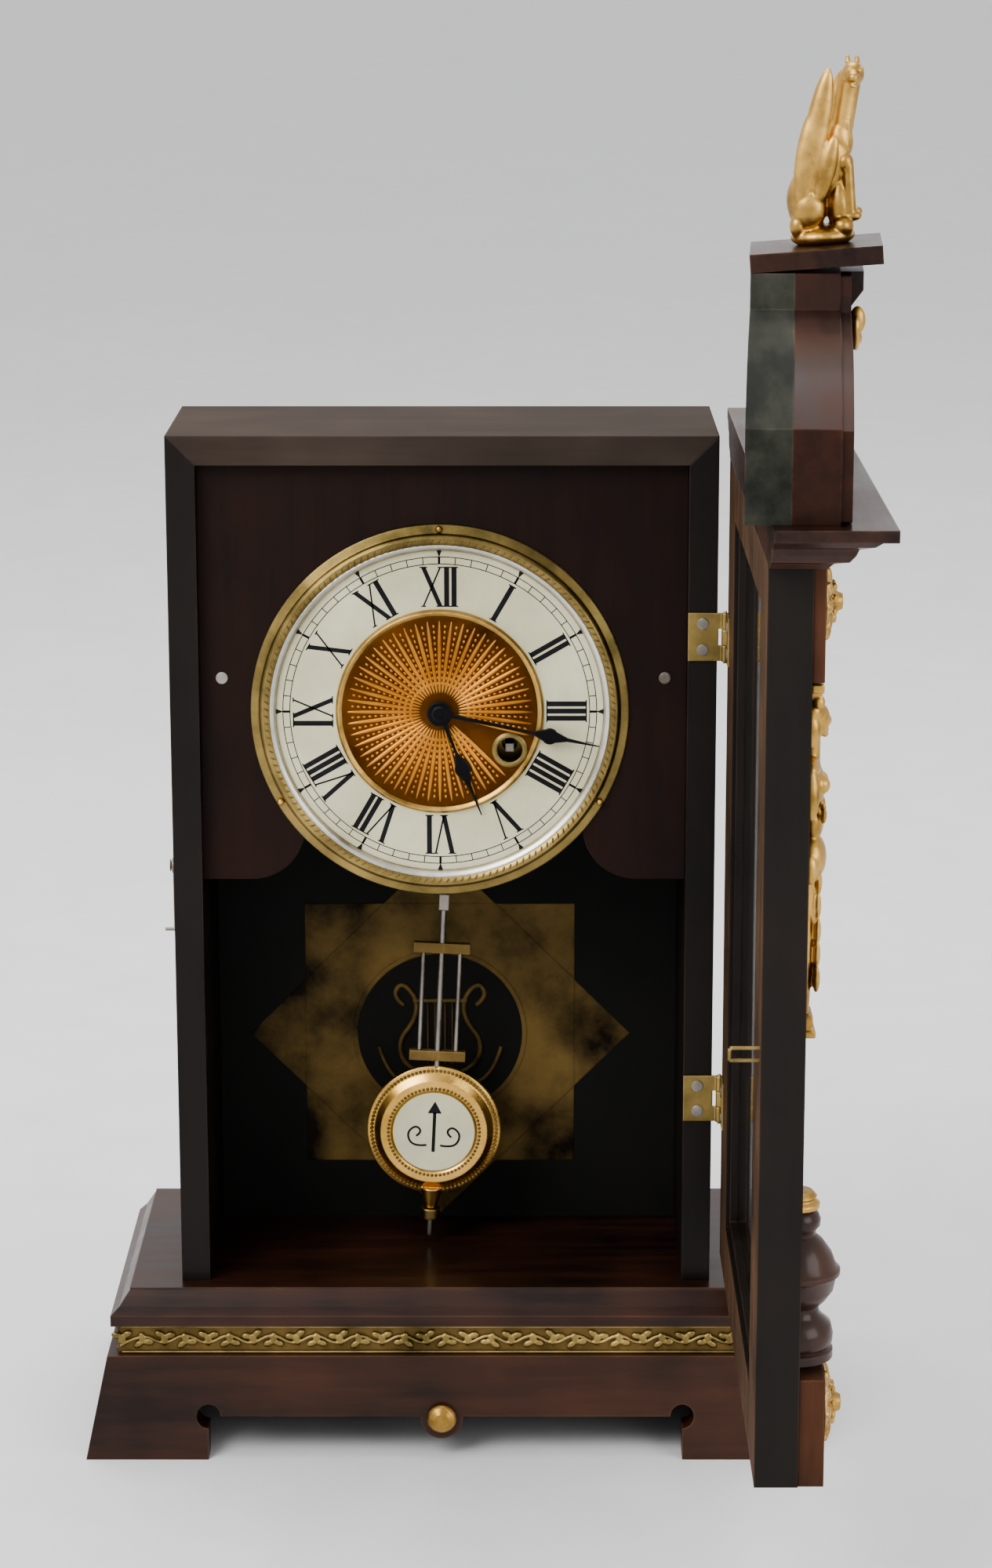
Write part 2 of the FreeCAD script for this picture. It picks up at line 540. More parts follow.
def movement():
    across, down = size("winding_across"), size("winding_down")
    reach = math.hypot(across, down)
    great_module = 2 * reach / (TEETH["great"] + TEETH["centre_pinion"])
    winding_angle = math.degrees(math.atan2(-down, across))
    centre_module, third_module = size("centre_module"), size("third_module")
    third_reach = centre_module * (TEETH["centre"] + TEETH["third_pinion"]) / 2
    escape_reach = third_module * (TEETH["third"] + TEETH["escape_pinion"]) / 2
    third_x, third_z = polar(third_reach, size("third_turn"))
    step_x, step_z = polar(escape_reach, size("escape_turn"))
    escape_x, escape_z = third_x + step_x, third_z + step_z
    gap, plate, arbor = size("plate_gap"), size("plate_thick"), size("arbor_radius")
    fit = size("pivot_fit")
    back = ("dial_x", "train_back", "dial_z")

    def seat(x, z):
        return ("dial_x + %.6f" % x, "train_back", "dial_z + %.6f" % z)

    holes = [(0, 0, arbor), (across, -down, 3), (third_x, third_z, arbor), (escape_x, escape_z, arbor),
             (size("pivot_across - dial_x"), size("pivot_above"), arbor)]
    posts = [(x, z) for x in (14 - size("plate_left"), size("plate_right") - 14)
             for z in (5 - size("plate_below"), size("plate_above") - 5)]
    for name, start in (("front", "plate_front"), ("back", "train_back")):
        blank = box("plate_%s_blank" % name, ("plate_left + plate_right", "plate_thick",
                                              "plate_below + plate_above"),
                    ("dial_x - plate_left", start, "dial_z - plate_below"))
        bores = [rod("bore_%s_%d" % (name, i), "%.6f + pivot_fit" % radius, "plate_thick + 2",
                     ("dial_x + %.6f" % x, start + " - 1", "dial_z + %.6f" % z), TO_BACK)
                 for i, (x, z, radius) in enumerate(holes)]
        corners = [rod("corner_%s_%d" % (name, i), "screw_shank + screw_fit", "plate_thick + 2",
                       (x, start + " - 1", z), TO_BACK) for i, (x, y, z) in enumerate(plate_screw_points())]
        cut("plate_" + name, blank, *bores, *(corners if name == "front" else []))
    node("movement_plates", doc.getObject("plate_front"), doc.getObject("plate_back"))
    node("movement_pillars", *[rod("pillar_%d" % i, "pillar_radius", "plate_gap", seat(x, z), TO_FRONT)
                               for i, (x, z) in enumerate(posts)])

    tooth, gap_side = mesh_phases(winding_angle + 180, TEETH["centre_pinion"])
    great = spokes(toothed(TEETH["great"], great_module, 2, tooth, 3 + fit), 25, 9, 2)
    peg = Part.makeCylinder(0.9, 1.9, FreeCAD.Vector(0, size("ratchet_radius") + 6.5, 2))
    rim_bridge = Part.makeBox(5, 14, 2, FreeCAD.Vector(-2.5, 9, 0))
    node("great_wheel", made("great_wheel", great.fuse(rim_bridge).fuse(peg).removeSplitter(), TO_FRONT,
                             ("dial_x + winding_across", "train_back - %g" % LAYERS["great"], "dial_z - winding_down")))
    ratchet = toothed(14, 2 * size("ratchet_radius") / 15.7, 1.5, 0, 0)
    arbor_end = gap + plate + size("movement_gap") + size("dial_board_thick") - 2
    winding = on_arbor([(LAYERS["ratchet"], ratchet)], -plate, arbor_end, 3)
    square = Part.makeBox(3.6, 3.6, 20, FreeCAD.Vector(-1.8, -1.8, arbor_end - 12))
    sleeve = Part.makeCylinder(4, 12, UP * (arbor_end - 12))
    node("winding_arbor", made("winding_arbor", winding.cut(sleeve.cut(square)), TO_FRONT,
                               ("dial_x + winding_across", "train_back", "dial_z - winding_down")))
    pivot = FreeCAD.Vector(0, size("ratchet_radius") + 6.5, 0)
    click = Part.makeCylinder(2.2, 1.2, pivot).fuse(Part.makeBox(7.5, 2.2, 1.2, pivot + FreeCAD.Vector(-7.5, -1.1, 0)))
    click = click.cut(Part.makeCylinder(0.9 + fit, 3, pivot - UP)).removeSplitter()
    node("click", made("click", click, TO_FRONT, ("dial_x + winding_across", "train_back - %g" % (LAYERS["ratchet"] + 0.1),
                                                  "dial_z - winding_down")))
    node("mainspring", made("mainspring", coil(size("spring_inner"), size("spring_outer"), 9, 0.45, 9), TO_FRONT,
                            ("dial_x + winding_across", "train_back - %g" % LAYERS["spring"], "dial_z - winding_down")))

    wheel_phase, pinion_phase = mesh_phases(size("third_turn"), TEETH["third_pinion"])
    centre_end = gap + plate + size("movement_gap") + size("dial_board_thick") + 4.6
    centre = on_arbor([
        (LAYERS["great"] - 0.5, toothed(TEETH["centre_pinion"], great_module, 3, gap_side, 0)),
        (LAYERS["centre"], spokes(toothed(TEETH["centre"], centre_module, 1.5, wheel_phase, 0), 17.5, 5, 1.5))],
        -plate, centre_end, arbor)
    node("centre_wheel", made("centre_wheel", centre, TO_FRONT, back))
    third_phase, escape_phase = mesh_phases(size("escape_turn"), TEETH["escape_pinion"])
    third = on_arbor([
        (LAYERS["centre"] - 0.5, toothed(TEETH["third_pinion"], centre_module, 2.5, pinion_phase, 0)),
        (LAYERS["third"], spokes(toothed(TEETH["third"], third_module, 1.2, third_phase, 0), 11.5, 4, 1.2))],
        -plate, gap + plate, arbor * 0.75)
    node("third_wheel", made("third_wheel", third, TO_FRONT, seat(third_x, third_z)))
    escape = on_arbor([
        (LAYERS["third"] - 0.5, toothed(TEETH["escape_pinion"], third_module, 2.2, escape_phase, 0)),
        (LAYERS["escape"], spokes(toothed(TEETH["escape"], 0.6, 1.2, 0, 0), 7, 3, 1.2))],
        -plate, gap + plate, arbor * 0.7)
    node("escape_wheel", made("escape_wheel", escape, TO_FRONT, seat(escape_x, escape_z)))


def bent_wire(corners, radius):
    """Round wire through a list of corners."""
    path = Part.makePolygon(corners)
    start = (corners[1] - corners[0]).normalize()
    ring = Part.Wire(Part.makeCircle(radius, corners[0], start))
    return path.makePipeShell([ring], True, False, 2)


def coil(inner, outer, turns, thick, wide):
    """A flat spiral strip wound about the local Z axis."""
    steps = turns * 12
    grow = (outer - inner) / steps
    edge_in, edge_out = [
        [FreeCAD.Vector((inner + grow * i + side) * math.cos(i * math.pi / 6),
                        (inner + grow * i + side) * math.sin(i * math.pi / 6), 0) for i in range(steps + 1)]
        for side in (0, thick)]
    curves = []
    for points in (edge_in, edge_out):
        curve = Part.BSplineCurve()
        curve.interpolate(points)
        curves.append(curve.toShape())
    ends = [Part.makeLine(edge_in[i], edge_out[i]) for i in (0, -1)]
    return Part.Face(Part.Wire(Part.__sortEdges__(curves + ends))).extrude(UP * wide)


def anchor():
    """Anchor with its arbor and crutch, drawn plumb below the pendulum's pivot."""
    layer = "train_back - %g" % (LAYERS["anchor"] + 2)
    hub = rod("anchor_hub", "2.6", "2", ("pivot_across", layer + " + 2", "pivot_z"), TO_FRONT)
    bar = box("anchor_bar", ("32", "2", "2.2"), ("pivot_across - 16", layer, "pivot_z - 3.6"))
    stem = box("anchor_stem", ("3", "2", "3"), ("pivot_across - 1.5", layer, "pivot_z - 3.5"))
    pallets = [box("pallet_" + side, ("2", "2", "4.1"), ("pivot_across " + offset, layer, "pivot_z - 6.6"))
               for side, offset in (("left", "- 16"), ("right", "+ 14"))]
    arbor = rod("anchor_arbor", "arbor_radius", "plate_gap + plate_thick + plate_thick + 1.6",
                ("pivot_across", "plate_back + 1.6", "pivot_z"), TO_FRONT)
    wire = box("crutch_wire", ("1.4", "1.2", "42"), ("pivot_across - 0.7", "plate_back + 0.5", "pivot_z - 42"))
    shoe = box("crutch_shoe", ("5", "pendulum_behind + 1.6", "1.6"),
               ("pivot_across - 2.5", "plate_back + 0.5", "pivot_z - 43.6"))
    slot = box("crutch_slot", ("2.4", "6", "3"), ("pivot_across - 1.2", "pendulum_y - 1.5", "pivot_z - 44.5"))
    whole = fuse("anchor_whole", hub, bar, stem, *pallets, arbor, wire, shoe)
    node("anchor", cut("anchor", whole, slot))
    arm = box("cock_arm", ("10", "pendulum_behind + 5", "3"), ("pivot_across - 5", "plate_back", "pivot_z + 4"))
    cheek = box("cock_cheek", ("10", "1.6", "9"), ("pivot_across - 5", "pendulum_y + 3.4", "pivot_z - 2"))
    foot = box("cock_foot", ("10", "1.4", "7"), ("pivot_across - 5", "plate_back", "pivot_z + 2"))
    pin = rod("cock_pin", "1", "5.6", ("pivot_across", "pendulum_y - 2", "pivot_z"), TO_BACK)
    node("suspension_cock", fuse("suspension_cock", arm, cheek, foot, pin))


# ---------------------------------------------------------------- hands and motion work

def hand_blank(reach, pear, swell, hub, bore):
    """Pear hand along local X: a slim tail from the hub, a round swelling, a long fine point."""
    thick = size("hand_thick")
    tail = [(0, 0.9), (pear - swell * 2.2, 0.55), (pear - swell * 0.7, swell * 0.72)]
    point = [(pear + swell * 0.75, swell * 0.66), (pear + swell * 2.2, 0.75), (reach, 0.18)]
    upper = tail + point
    corners = upper + [(x, -y) for x, y in reversed(upper)]
    points = [FreeCAD.Vector(x, y, 0) for x, y in corners]
    blade = Part.Face(Part.makePolygon(points + points[:1])).extrude(UP * thick)
    blade = blade.fuse(Part.makeCylinder(swell, thick, FreeCAD.Vector(pear, 0, 0)))
    blade = blade.fuse(Part.makeCylinder(hub, thick))
    return blade.cut(Part.makeCylinder(bore, thick + 2, UP * -1)).removeSplitter()


def hands():
    fit, arbor = size("pivot_fit"), size("arbor_radius")
    reach = size("motion_module") * (TEETH["cannon"] + TEETH["minute"]) / 2
    hour_module = 2 * reach / (TEETH["minute_pinion"] + TEETH["hour"])
    front = size("board_front")
    face = front - size("plate_front")                     # negative: the dial's back, ahead of the front plate
    tooth, facing = mesh_phases(0, TEETH["minute"])
    cannon = toothed(TEETH["cannon"], size("motion_module"), 2.4, tooth, 0)
    cannon.translate(UP * 1)
    pipe_end = 5.6 - face
    cannon = cannon.fuse(Part.makeCylinder(1.8, pipe_end - 1, UP)).cut(Part.makeCylinder(arbor + fit, 40, UP * -1))
    node("cannon_pinion", made("cannon_pinion", cannon.removeSplitter(), TO_FRONT, ("dial_x", "plate_front", "dial_z")))
    wheel_phase = facing
    pinion_phase, hour_phase = mesh_phases(180, TEETH["hour"])
    minute = toothed(TEETH["minute"], size("motion_module"), 1.2, wheel_phase, 0)
    minute.translate(UP * 1.6)
    pinion = toothed(TEETH["minute_pinion"], hour_module, 2.4, pinion_phase, 0)
    pinion.translate(UP * 2.8)
    stub = Part.makeCylinder(1, 5.4)
    node("minute_wheel", made("minute_wheel", minute.fuse(pinion).fuse(stub).removeSplitter(), TO_FRONT,
                              ("dial_x + %.6f" % reach, "plate_front - 0.2", "dial_z")))
    hour = toothed(TEETH["hour"], hour_module, 1.2, hour_phase, 0)
    hour.translate(UP * 3.8)
    hour = hour.fuse(Part.makeCylinder(2.9, 3.6 - face - 3.8, UP * 3.8)).cut(Part.makeCylinder(1.8 + fit, 40, UP * -1))
    node("hour_wheel", made("hour_wheel", hour.removeSplitter(), TO_FRONT, ("dial_x", "plate_front", "dial_z")))

    centre = FreeCAD.Rotation(UP, size("hour_angle"))
    node("hour_hand", made("hour_hand", hand_blank(size("hour_reach"), size("hour_pear"), 3.4, 4.6, 2.9),
                           TO_FRONT.multiply(centre), ("dial_x", "board_front - 2.95", "dial_z")))
    centre = FreeCAD.Rotation(UP, size("minute_angle"))
    minute_hand = hand_blank(size("minute_reach"), size("minute_pear"), 3.4, 4.4, 1.8)
    nut = Part.makeCylinder(5.2, 1.2, UP * 0.7).fuse(Part.makeCylinder(3, 1.6, UP * 0.7))
    nut = nut.cut(Part.makeCylinder(1.8, 1.5, UP * -0.2))
    node("minute_hand", made("minute_hand", minute_hand.fuse(nut).removeSplitter(), TO_FRONT.multiply(centre),
                             ("dial_x", "board_front - 4.4", "dial_z")))


# ---------------------------------------------------------------- pendulum

def pendulum():
    eye = cut("suspension_eye", rod("eye_outer", "2.3", "2.2", ("pivot_across", "pendulum_y + 1.1", "pivot_z"),
                                    TO_FRONT),
              rod("eye_bore", "1 + pivot_fit", "4", ("pivot_across", "pendulum_y + 2", "pivot_z"), TO_FRONT))
    wire = rod("suspension_wire", "0.8", "hook_length - 4", ("pivot_across", "pendulum_y", "pivot_z - hook_length + 2"))
    hook_block = box("suspension_block", ("4.2", "2.4", "7"),
                     ("pivot_across - 2.1", "pendulum_y - 1.2", "pivot_z - hook_length - 2"))
    node("suspension_rod", fuse("suspension_rod", eye, wire, hook_block))
    rods = [rod("side_rod_%s" % side, "side_rod", "lower_cross - upper_cross - cross_height",
                ("pivot_across " + offset, "pendulum_y", "pivot_z - lower_cross + cross_height / 2"))
            for side, offset in (("left", "- side_rod_spread"), ("right", "+ side_rod_spread"))]
    middle = rod("middle_rod", "middle_rod", "rod_length - hook_length - 2",
                 ("pivot_across", "pendulum_y", "pivot_z - rod_length"))
    node("pendulum_rods", *rods, middle)
    bars = []
    for name in ("upper_cross", "lower_cross"):
        blank = box(name + "_bar", ("cross_width", "3.2", "cross_height"),
                    ("pivot_across - cross_width / 2", "pendulum_y - 1.6", "pivot_z - %s - cross_height / 2" % name))
        bore = rod(name + "_bore", "middle_rod + pivot_fit", "cross_height + 2",
                   ("pivot_across", "pendulum_y", "pivot_z - %s - cross_height / 2 - 1" % name))
        bars.append(cut(name + "_piece", blank, bore))
    node("pendulum_crosspieces", *bars)

    centre = ("pivot_across", "pendulum_y", "pivot_z - bob_length")
    half = "(bob_thick / 2)"
    shell = turned("bob_lens", [
        ("0", "-" + half), ("bob_radius * 0.62", "-" + half), ("bob_radius - 1", "-1.6"), ("bob_radius", "-1.2"),
        ("bob_radius", "1.2"), ("bob_radius - 1", "1.6"), ("bob_radius - 3", "2.2"), ("bob_radius - 6", half),
        ("bob_disc + 1.2", half), ("bob_disc + 0.1", half + " - 0.9"), ("0", half + " - 0.9")], centre, TO_FRONT)
    bore = rod("bob_bore", "middle_rod + pivot_fit", "2 * bob_radius + 14",
               ("pivot_across", "pendulum_y", "pivot_z - bob_length - bob_radius - 12"))
    shoe_top = "pivot_z - bob_length - bob_radius + 2.5"
    drop = "(nut_length - bob_length - bob_radius - nut_height / 2 - 0.3)"
    shoe = cone("bob_shoe", "2.6", "5", drop + " + 2.5", ("pivot_across", "pendulum_y", shoe_top + " - 2.5 - " + drop))
    node("bob_shell", cut("bob_shell", fuse("bob_body", shell, shoe), bore))
    node("bob_disc", rod("bob_disc", "bob_disc", "0.8", ("pivot_across", "pendulum_y - %s + 0.9" % half,
                                                         "pivot_z - bob_length"), TO_FRONT))
    nut_base = "pivot_z - nut_length - nut_height / 2"
    nut = rod("nut_blank", "nut_radius", "nut_height", ("pivot_across", "pendulum_y", nut_base))
    node("rating_nut", cut("rating_nut", nut, rod("nut_bore", "middle_rod + pivot_fit", "nut_height + 2",
                                                  ("pivot_across", "pendulum_y", nut_base + " - 1"))))


# ---------------------------------------------------------------- hinges, screws and hook

def hinges():
    leaves, door_leaves = [], []
    for name, low in (("low", "hinge_low"), ("high", "hinge_high")):
        middle = "(case_base + %s)" % low
        base = middle + " - leaf_height / 2"
        share = "leaf_height / 3"
        leaf = box("case_leaf_" + name, ("hinge_x - case_width / 2 + leaf_width", "leaf_thick", "leaf_height"),
                   ("case_width / 2 - leaf_width", "case_front - leaf_thick", base))
        ends = [rod("knuckle_%s_%d" % (name, i), "knuckle_radius", share + " - 0.15", ("hinge_x", "hinge_y", start))
                for i, start in enumerate((base, base + " + 2 * " + share + " + 0.15"))]
        window = box("case_leaf_window_" + name, ("4", "6", share + " + 0.3"),
                     ("case_width / 2 + 0.4", "hinge_y - 3", base + " + " + share + " - 0.15"))
        pin = rod("hinge_pin_" + name, "pin_radius", "leaf_height + 1.6", ("hinge_x", "hinge_y", base + " - 0.8"))
        body = cut("case_leaf_cut_" + name, leaf, window)
        leaves.append(fuse("case_leaf_whole_" + name, body, *ends, pin))
        door_leaf = box("door_leaf_" + name, ("leaf_width", "leaf_thick", "leaf_height"),
                        ("hinge_x - leaf_width", "door_back", base))
        notches = [box("door_leaf_notch_%s_%d" % (name, i), ("4", "6", share + " + 1"),
                       ("hinge_x - knuckle_radius - 0.4", "hinge_y - 3", start))
                   for i, start in enumerate((base + " - 1", base + " + 2 * " + share))]
        knuckle = rod("door_knuckle_" + name, "knuckle_radius", share + " - 0.3",
                      ("hinge_x", "hinge_y", base + " + " + share + " + 0.15"))
        bore = rod("door_knuckle_bore_" + name, "pin_radius + pivot_fit", share + " + 2",
                   ("hinge_x", "hinge_y", base + " + " + share + " - 1"))
        joined = fuse("door_leaf_whole_" + name, cut("door_leaf_cut_" + name, door_leaf, *notches), knuckle)
        door_leaves.append(cut("door_leaf_bored_" + name, joined, bore))
    case_holes = [pilot("leaf_pilot_%d" % i, at, TO_FRONT, "4") for i, at in enumerate(case_hinge_points())]
    door_holes = [pilot("door_leaf_pilot_%d" % i, at, TO_BACK, "4") for i, at in enumerate(door_hinge_points())]
    node("hinge_case_leaves", cut("hinge_case_leaves", group("case_leaf_pair", leaves), *case_holes))
    node("hinge_door_leaves", cut("hinge_door_leaves", group("door_leaf_pair", door_leaves), *door_holes))
    node("case_screws",
         *[screw("dial_board_screw_%d" % i, at, TO_FRONT, "dial_board_thick + 5")
           for i, at in enumerate(dial_board_points())],
         *[screw("movement_screw_%d" % i, (x, "plate_front + plate_thick", z), TO_BACK,
                 "plate_thick + movement_gap + 4") for i, (x, y, z) in enumerate(plate_screw_points())],
         *[screw("hinge_screw_%d" % i, at, TO_FRONT, "11") for i, at in enumerate(case_hinge_points())],
         screw("hook_screw", hook_point(), TO_LEFT, "8"))
    node("door_screws", *[screw("door_hinge_screw_%d" % i, at, TO_BACK, "9")
                          for i, at in enumerate(door_hinge_points())])

    x, y, z = hook_point()
    middle = "(-case_width / 2 - 2.2)"
    eye = cut("hook_eye", rod("hook_eye_outer", "3.2", "1.8", (middle + " + 0.9", y, z), TO_LEFT),
              rod("hook_eye_bore", "screw_shank + pivot_fit", "4", (middle + " + 2", y, z), TO_LEFT))
    drop = size("hook_reach")
    wire = bent_wire([FreeCAD.Vector(0, 0, -1.8), FreeCAD.Vector(0, 0, -drop), FreeCAD.Vector(-size("hook_tip"), 0, -drop)],
                     size("hook_wire"))
    node("door_hook", fuse("door_hook", eye, made("hook_wire", wire, UPRIGHT, (middle, y, z))))


# ---------------------------------------------------------------- door

def door():
    stile = box("stile_blank", ("stile_width + rebate", "door_thick", "door_height"),
                ("sight_half", "door_front", "door_base"))
    rebate = box("stile_rebate", ("rebate + 1", "glass_depth + glass_thick + 1", "door_height - bottom_rail - top_rail"),
                 ("sight_half - 1", "door_back - glass_depth - glass_thick", "door_base + bottom_rail"))
    holes = [pilot("stile_pilot_%d" % i, at, TO_BACK, "10") for i, at in enumerate(door_hinge_points())]
    plain = cut("stile_rebated", stile, rebate)
    staple_holes = [rod("staple_hole_%d" % i, "hook_wire + 0.05", "4", ("-door_width / 2 + 4.5", "door_back - 3.2", z),
                        TO_BACK) for i, z in enumerate(staple_legs())]
    node("door_stiles", cut("stile_right", plain, *holes),
         cut("stile_left", mirrored("stile_rebated_left", plain), *staple_holes))
    rails = []
    for name, base, rail in (("bottom", "door_base", "bottom_rail"), ("top", "door_crown - top_rail", "top_rail")):
        lift = base + (" - rebate" if name == "top" else "")
        blank = box("rail_%s_blank" % name, ("2 * sight_half", "door_thick", rail + " + rebate"),
                    ("-sight_half", "door_front", lift))
        start = "door_base + bottom_rail" if name == "bottom" else "door_crown - top_rail - rebate - 1"
        groove = box("rail_%s_rebate" % name, ("2 * sight_half", "glass_depth + glass_thick + 1", "rebate + 1"),
                     ("-sight_half", "door_back - glass_depth - glass_thick", start))
        rails.append(cut("rail_" + name, blank, groove))
    node("door_rails", *rails)
    pane_height = "(door_height - bottom_rail - top_rail)"
    node("glass_pane", box("glass_pane", ("2 * sight_half + 2 * rebate - 0.4", "glass_thick", pane_height + " - 0.4"),
                           ("-sight_half - rebate + 0.2", "door_back - glass_depth - glass_thick",
                            "door_base + bottom_rail + 0.2")))
    bead, depth = "3.6", "3.4"
    outer = "(sight_half + rebate)"
    low, high = "(door_base + bottom_rail)", "(door_crown - top_rail)"
    strip = box("bead_right", (bead, depth, high + " - " + low),
                (outer + " - " + bead, "door_back - glass_depth", low))
    bars = [box("bead_" + name, ("2 * %s - 2 * %s" % (outer, bead), depth, bead),
                ("-%s + %s" % (outer, bead), "door_back - glass_depth", base))
            for name, base in (("bottom", low), ("top", high + " - " + bead))]
    node("glass_beads", strip, mirrored("bead_left", strip), *bars)

    half = "(door_width / 2)"
    face = "(door_front)"
    profile = [("1", "door_crown"), ("4", "door_crown"), ("6", "door_crown + 2"), ("11", "door_crown + 3.4"),
               ("13", "door_crown + 6"), ("14", "door_crown + 8.4"), ("19", "door_crown + 10"),
               ("22", "door_crown + 12.4"), ("cornice_reach", "door_crown + 12.8"), ("cornice_reach", "crest_base")]
    side = [(half + " + " + out, z) for out, z in profile]
    across = padded("cornice_across", "XZ_Plane", side + [("-(%s)" % x, z) for x, z in reversed(side)],
                    "door_thick + cornice_reach + 1", ("dial_x", face + " - cornice_reach - 1", "0"), backwards=True)
    along = padded("cornice_along", "YZ_Plane", [(face + " - (%s)" % out, z) for out, z in profile] +
                   [("door_back", "crest_base"), ("door_back", "door_crown")], "door_width + 2 * cornice_reach + 2",
                   ("-%s - cornice_reach - 1" % half, "0", "0"))
    node("cornice", common("cornice", across, along))
    middle = "(-door_width / 2 + 4.5)"
    reach, half = size("staple_reach"), size("staple_height / 2 - hook_wire")
    corners = [FreeCAD.Vector(0, y, z) for y, z in ((-3, -half), (reach, -half), (reach, half), (-3, half))]
    node("staple", made("staple", bent_wire(corners, size("hook_wire")), UPRIGHT, (middle, "door_back", "hook_z")))


def staple_legs():
    return ["hook_z %s staple_height / 2 %s hook_wire" % signs for signs in (("-", "+"), ("+", "-"))]


def crest_slab(name, start, thick, drop):
    """The crest's outline, from upright ends over a full shoulder to a narrow neck, drawn in by a drop."""
    half, end, neck, rise = size("crest_half"), size("crest_end"), size("crest_neck"), size("crest_rise")
    sides = []
    for hand in (1, -1):
        foot, corner, over, shoulder, root, top = [FreeCAD.Vector(hand * x, z, 0) for x, z in (
            (half, 0), (half, end), (half * 0.78, rise * 0.66), (half * 0.45, rise * 0.78),
            (neck * 1.25, rise * 0.83), (neck, rise))]
        sides += [Part.makeLine(foot, corner), Part.Arc(corner, over, shoulder).toShape(),
                  Part.makeLine(shoulder, root), Part.makeLine(root, top)]
    sides += [Part.makeLine(FreeCAD.Vector(-half, 0, 0), FreeCAD.Vector(half, 0, 0)),
              Part.makeLine(FreeCAD.Vector(-neck, rise, 0), FreeCAD.Vector(neck, rise, 0))]
    outline = Part.Wire(Part.__sortEdges__(sides))
    if drop:
        outline = outline.makeOffset2D(-drop, 2)
    return made(name, Part.Face(outline).extrude(UP * thick), TO_FRONT, ("0", start, "crest_base"))


def crest():
    node("pediment_backing", crest_slab("pediment_backing", "door_back", size("backing_thick"), 0))
    block = crest_slab("pediment_solid", "door_back - backing_thick", size("block_thick"), 0)
    outer = crest_slab("archivolt_outer", "crest_front", size("archivolt_thick"), 1.2)
    inner = crest_slab("archivolt_inner", "crest_front + 1", size("archivolt_thick") + 2, 11)
    ring = cut("archivolt_ring", outer, inner)
    base = "(crest_base + crest_rise - keystone_height)"
    key_zone = box("keystone_zone", ("keystone_width + 0.4", "archivolt_thick + 2", "keystone_height + 4"),
                   ("-keystone_width / 2 - 0.2", "crest_front - archivolt_thick - 1", base + " - 0.2"))
    node("pediment_block", fuse("pediment_block", block, cut("archivolt", ring, key_zone)))
    keystone = padded("keystone_blank", "XZ_Plane", [
        ("-keystone_width / 2 + 2", base), ("keystone_width / 2 - 2", base),
        ("keystone_width / 2", "crest_base + crest_rise - 0.4"),
        ("-keystone_width / 2", "crest_base + crest_rise - 0.4")],
        "keystone_reach", ("0", "crest_front", "0"))
    bevel = padded("keystone_bevel", "YZ_Plane", [
        ("crest_front - keystone_reach - 1", base + " - 1"), ("crest_front - keystone_reach * 0.35", base + " - 1"),
        ("crest_front - keystone_reach - 1", "crest_base + crest_rise - 6")], "keystone_width + 2",
        ("-keystone_width / 2 - 1", "0", "0"))
    node("keystone", cut("keystone", keystone, bevel))
    node("pediment_cap", box("pediment_cap", ("cap_size", "cap_size", "cap_thick"),
                             ("-cap_size / 2", "door_back - cap_size", "crest_base + crest_rise")))
    radius, height = "finial_radius", "finial_height"
    top = "crest_base + crest_rise + cap_thick"
    spot = "(door_back - cap_size * 0.55)"

    def lift(share):
        return "%s + %s * %s" % (top, height, share)

    rock = cone("finial_rock", radius, radius + " * 0.86", height + " * 0.2", ("0", spot, top))
    rump = egg("finial_body", ("10", "10", height + " * 0.26"), ("0", spot + " + 1", lift("0.36")))
    breast = egg("finial_breast", ("8.5", "8", height + " * 0.22"), ("0", spot + " - 3.4", lift("0.56")))
    neck = cone("finial_neck", "6", "3.4", height + " * 0.3", ("0", spot + " - 5", lift("0.66")))
    head = ball("finial_head", height + " * 0.062", ("0", spot + " - 7", lift("0.938")))
    wing = egg("finial_wing", ("3.4", "6", height + " * 0.34"), ("-9.5", spot + " + 4", lift("0.5")))
    node("finial", fuse("finial", rock, rump, breast, neck, head, wing, mirrored("finial_wing_right", wing)))
    spot_z = "crest_base + crest_rise * 0.69"
    plate = egg("ornament_egg", ("ornament_radius * 1.3", "ornament_rise", "ornament_radius"),
                ("0", "crest_front", spot_z))
    front = box("ornament_front", ("ornament_radius * 4", "ornament_rise * 2", "ornament_radius * 3"),
                ("-ornament_radius * 2", "crest_front - ornament_rise * 2", spot_z + " - ornament_radius * 1.5"))
    node("tympanum_ornament", common("tympanum_ornament", plate, front))


